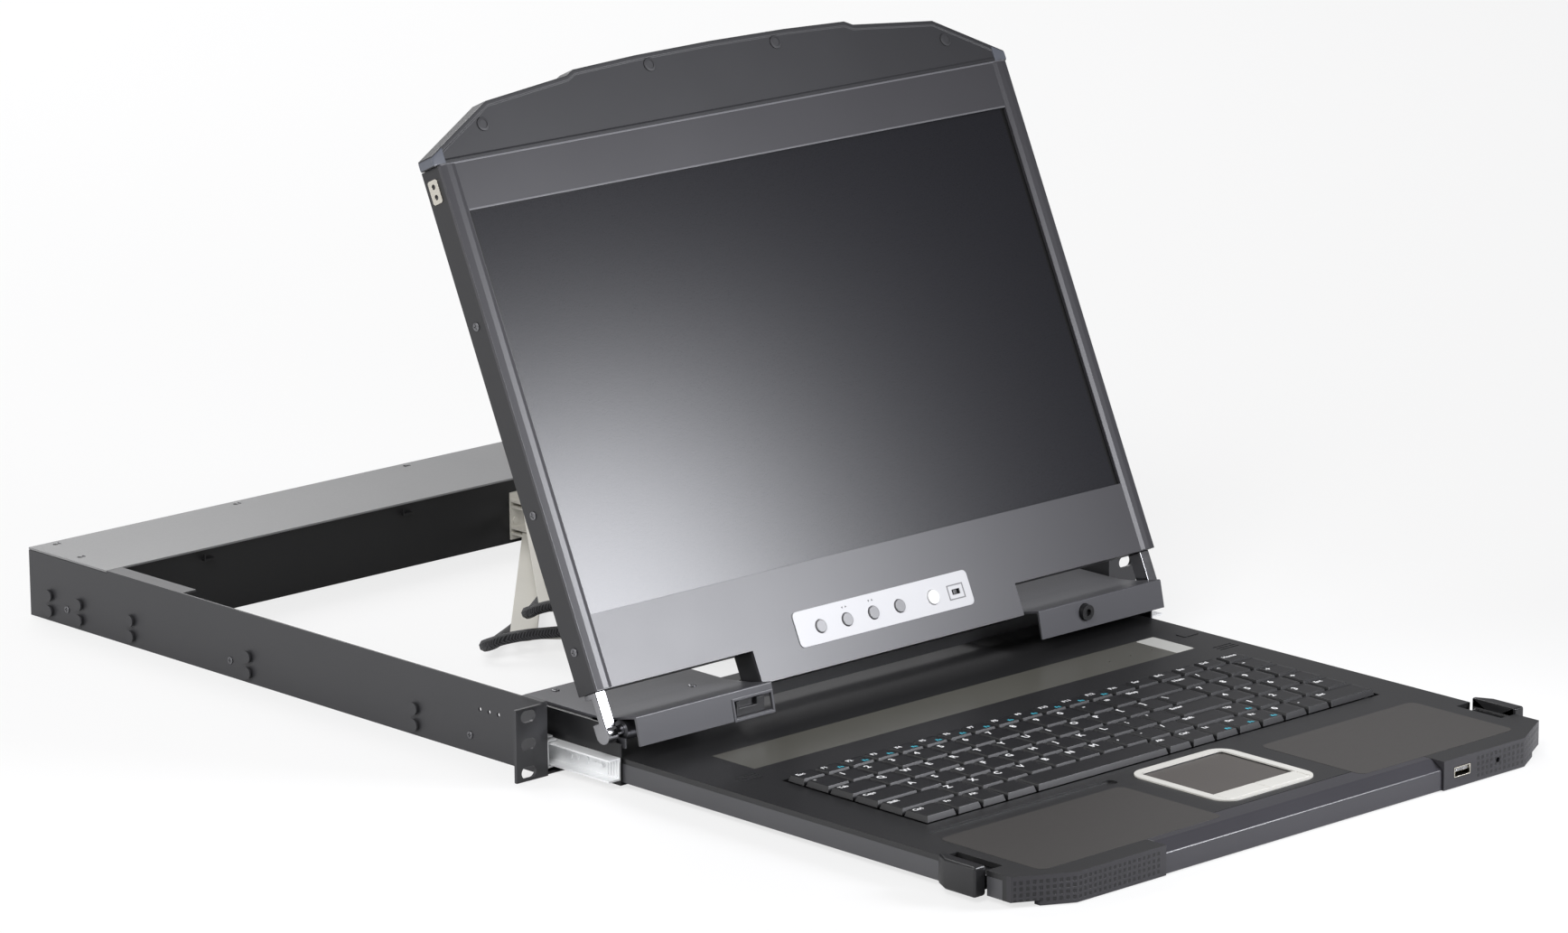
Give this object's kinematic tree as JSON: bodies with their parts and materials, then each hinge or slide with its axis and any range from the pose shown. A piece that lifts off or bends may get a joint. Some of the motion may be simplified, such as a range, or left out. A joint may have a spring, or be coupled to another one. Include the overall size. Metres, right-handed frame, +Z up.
{
  "type": "rack-mount console with fold-up screen and keyboard drawer",
  "caption": "Slim rack drawer whose screen folds up on its own slides above a separate keyboard tray, with folding cable arms behind.",
  "frame": {"origin": "middle of the rack ears' slot pattern, on the front faces of the ears", "axes": "+X to the right seen from the front, +Y to the rear of the rack, +Z up"},
  "size_m": [0.4826, 0.8337, 0.3654],
  "materials": {
    "chassis_steel": "satin dark grey paint",
    "cover_steel": "smooth grey paint that reflects its surroundings",
    "black_steel": "satin black paint",
    "hinge_cover_paint": "satin grey paint",
    "zinc": "zinc plated steel",
    "arm_plate": "pale plated steel strip",
    "chrome": "bright chrome",
    "barrel_steel": "plain steel",
    "screw_steel": "dark plated steel",
    "nickel": "nickel plated steel",
    "board": "green circuit board",
    "supply_case": "plain sheet case",
    "inlet_plastic": "black moulded plastic",
    "connector_metal": "nickel plated shell",
    "lid_back": "satin dark grey paint",
    "lid_face": "fine satin dark grey moulding",
    "screen_glass": "dark semi-matt display, switched off",
    "upper_handle_paint": "satin dark grey",
    "bumper_rubber": "dark rubber",
    "plate_silver": "pale satin silver",
    "grey_button": "mid grey",
    "white_button": "white",
    "black_plastic": "black",
    "tray_paint": "satin blue-grey paint",
    "deck_black": "fine textured near-black moulding",
    "handle_blue": "satin blue-grey moulding",
    "strip_olive": "glossy olive-grey",
    "key_black": "black key caps",
    "pad_frame_silver": "warm satin silver",
    "pad_surface": "grey-brown",
    "socket_metal": "bright shell",
    "cable_braid": "black braided sleeve over flexible cable"
  },
  "bodies": {
    "chassis": {"chassis_side_left": "chassis_steel", "chassis_side_right": "chassis_steel", "rear_housing": "chassis_steel", "rear_cover": "cover_steel", "housing_screws": "screw_steel", "outer_rails": "zinc", "main_board": "board", "power_supply": "supply_case", "power_inlet": "inlet_plastic", "rear_connectors": "connector_metal", "cable_arm_bracket": "arm_plate"},
    "middle_rails": {"middle_rails": "zinc"},
    "carrier": {"inner_rails": "zinc", "carrier_bracket_left": "black_steel", "carrier_bracket_right": "black_steel", "carrier_frame": "black_steel", "hinge_cover_left": "hinge_cover_paint", "hinge_cover_right": "hinge_cover_paint", "hinge_barrels": "barrel_steel", "carrier_screws": "screw_steel", "flap_stud": "black_plastic"},
    "lid_catch": {"lid_catch": "black_plastic"},
    "lid": {"lid_back_cover": "lid_back", "lid_bezel": "lid_face", "display_panel": "screen_glass", "upper_handle": "upper_handle_paint", "handle_bumpers": "bumper_rubber", "hinge_arms": "chrome", "control_plate": "plate_silver", "lid_fittings": "nickel"},
    "menu_button_1": {"menu_button_1": "grey_button"},
    "menu_button_2": {"menu_button_2": "grey_button"},
    "menu_button_3": {"menu_button_3": "grey_button"},
    "menu_button_4": {"menu_button_4": "grey_button"},
    "screen_power_button": {"screen_power_button": "white_button"},
    "mode_switch": {"mode_switch_knob": "black_plastic"},
    "tray": {"tray_pan": "tray_paint", "tray_deck": "deck_black", "lower_handle": "handle_blue", "dark_strip": "strip_olive", "keyboard_base": "key_black", "touch_surface": "pad_surface", "touchpad_frame": "pad_frame_silver", "front_socket": "socket_metal"},
    "touchpad_button_left": {"touchpad_button_left": "pad_frame_silver"},
    "touchpad_button_right": {"touchpad_button_right": "pad_frame_silver"},
    "side_catch_left": {"side_catch_left": "black_plastic"},
    "side_catch_right": {"side_catch_right": "black_plastic"},
    "function_keys": {"function_keys": "key_black"},
    "main_keys": {"main_keys": "key_black"},
    "space_bar": {"space_bar": "key_black"},
    "number_keys": {"number_keys": "key_black"},
    "screen_arm_rear": {"screen_rear_link": "arm_plate", "screen_rear_cable": "cable_braid"},
    "screen_arm_front": {"screen_front_link": "arm_plate", "screen_front_cable": "cable_braid"},
    "keyboard_arm_rear": {"keyboard_rear_link": "arm_plate", "keyboard_rear_cable": "cable_braid"},
    "keyboard_arm_front": {"keyboard_front_link": "arm_plate", "keyboard_front_cable": "cable_braid"}
  },
  "joints": [
    {"name": "screen_slide", "type": "slide", "parent": "chassis", "child": "carrier", "axis": [0, 1, 0], "range_m": [0, 0.34]},
    {"name": "middle_rail_slide", "type": "slide", "parent": "chassis", "child": "middle_rails", "axis": [0, 1, 0], "range_m": [0, 0.17]},
    {"name": "keyboard_slide", "type": "slide", "parent": "chassis", "child": "tray", "axis": [0, 1, 0], "range_m": [-0.04, 0.3]},
    {"name": "lid_hinge", "type": "hinge", "parent": "carrier", "child": "lid", "pos_m": [0, -0.041, 0.01025], "axis": [1, 0, 0], "range_deg": [-3, 114.5]},
    {"name": "lid_catch_slide", "type": "slide", "parent": "carrier", "child": "lid_catch", "axis": [1, 0, 0], "range_m": [0, 0.005], "stiffness_N_per_m": 200, "springref_m": -0.004},
    {"name": "menu_press_1", "type": "slide", "parent": "lid", "child": "menu_button_1", "axis": [0, 0.91, -0.4147], "range_m": [0, 0.0008], "stiffness_N_per_m": 400, "springref_m": -0.0012},
    {"name": "menu_press_2", "type": "slide", "parent": "lid", "child": "menu_button_2", "axis": [0, 0.91, -0.4147], "range_m": [0, 0.0008], "stiffness_N_per_m": 400, "springref_m": -0.0012},
    {"name": "menu_press_3", "type": "slide", "parent": "lid", "child": "menu_button_3", "axis": [0, 0.91, -0.4147], "range_m": [0, 0.0008], "stiffness_N_per_m": 400, "springref_m": -0.0012},
    {"name": "menu_press_4", "type": "slide", "parent": "lid", "child": "menu_button_4", "axis": [0, 0.91, -0.4147], "range_m": [0, 0.0008], "stiffness_N_per_m": 400, "springref_m": -0.0012},
    {"name": "screen_power_press", "type": "slide", "parent": "lid", "child": "screen_power_button", "axis": [0, 0.91, -0.4147], "range_m": [0, 0.0008], "stiffness_N_per_m": 400, "springref_m": -0.0012},
    {"name": "mode_switch_slide", "type": "slide", "parent": "lid", "child": "mode_switch", "axis": [1, 0, 0], "range_m": [0, 0.0025]},
    {"name": "touch_press_left", "type": "slide", "parent": "tray", "child": "touchpad_button_left", "axis": [0, 0, -1], "range_m": [0, 0.0005], "stiffness_N_per_m": 400, "springref_m": -0.0012},
    {"name": "touch_press_right", "type": "slide", "parent": "tray", "child": "touchpad_button_right", "axis": [0, 0, -1], "range_m": [0, 0.0005], "stiffness_N_per_m": 400, "springref_m": -0.0012},
    {"name": "catch_left_slide", "type": "slide", "parent": "tray", "child": "side_catch_left", "axis": [1, 0, 0], "range_m": [-0.0015, 0.011]},
    {"name": "catch_right_slide", "type": "slide", "parent": "tray", "child": "side_catch_right", "axis": [-1, 0, 0], "range_m": [-0.0015, 0.011]},
    {"name": "function_press", "type": "slide", "parent": "tray", "child": "function_keys", "axis": [0, 0, -1], "range_m": [0, 0.002], "stiffness_N_per_m": 1500, "springref_m": -0.002},
    {"name": "main_press", "type": "slide", "parent": "tray", "child": "main_keys", "axis": [0, 0, -1], "range_m": [0, 0.002], "stiffness_N_per_m": 1500, "springref_m": -0.002},
    {"name": "space_press", "type": "slide", "parent": "tray", "child": "space_bar", "axis": [0, 0, -1], "range_m": [0, 0.002], "stiffness_N_per_m": 400, "springref_m": -0.0012},
    {"name": "number_press", "type": "slide", "parent": "tray", "child": "number_keys", "axis": [0, 0, -1], "range_m": [0, 0.002], "stiffness_N_per_m": 1500, "springref_m": -0.002},
    {"name": "screen_arm_pivot", "type": "hinge", "parent": "chassis", "child": "screen_arm_rear", "pos_m": [0.1, 0.378, 0.00925], "axis": [0, 0, 1], "range_deg": [-47.82, 0.1]},
    {"name": "screen_arm_elbow", "type": "hinge", "parent": "screen_arm_rear", "child": "screen_arm_front", "pos_m": [-0.04786, 0.1915, 0.00925], "axis": [0, 0, 1], "range_deg": [-0.1, 95.63]},
    {"name": "keyboard_arm_pivot", "type": "hinge", "parent": "chassis", "child": "keyboard_arm_rear", "pos_m": [0.1, 0.378, -0.01275], "axis": [0, 0, 1], "range_deg": [-41.2, 5.67]},
    {"name": "keyboard_arm_elbow", "type": "hinge", "parent": "keyboard_arm_rear", "child": "keyboard_arm_front", "pos_m": [-0.06263, 0.2015, -0.01275], "axis": [0, 0, 1], "range_deg": [-11.33, 82.41]}
  ],
  "couplings": [
    {"joint": "middle_rail_slide", "follows": "screen_slide", "ratio": 0.5},
    {"joint": "screen_arm_pivot", "follows": "screen_slide", "rad_per_m": -2.4444},
    {"joint": "screen_arm_elbow", "follows": "screen_slide", "rad_per_m": 4.8887},
    {"joint": "catch_left_slide", "follows": "keyboard_slide", "ratio": 0.0365},
    {"joint": "catch_right_slide", "follows": "keyboard_slide", "ratio": 0.0365},
    {"joint": "keyboard_arm_pivot", "follows": "keyboard_slide", "rad_per_m": -2.3855},
    {"joint": "keyboard_arm_elbow", "follows": "keyboard_slide", "rad_per_m": 4.7709}
  ]
}
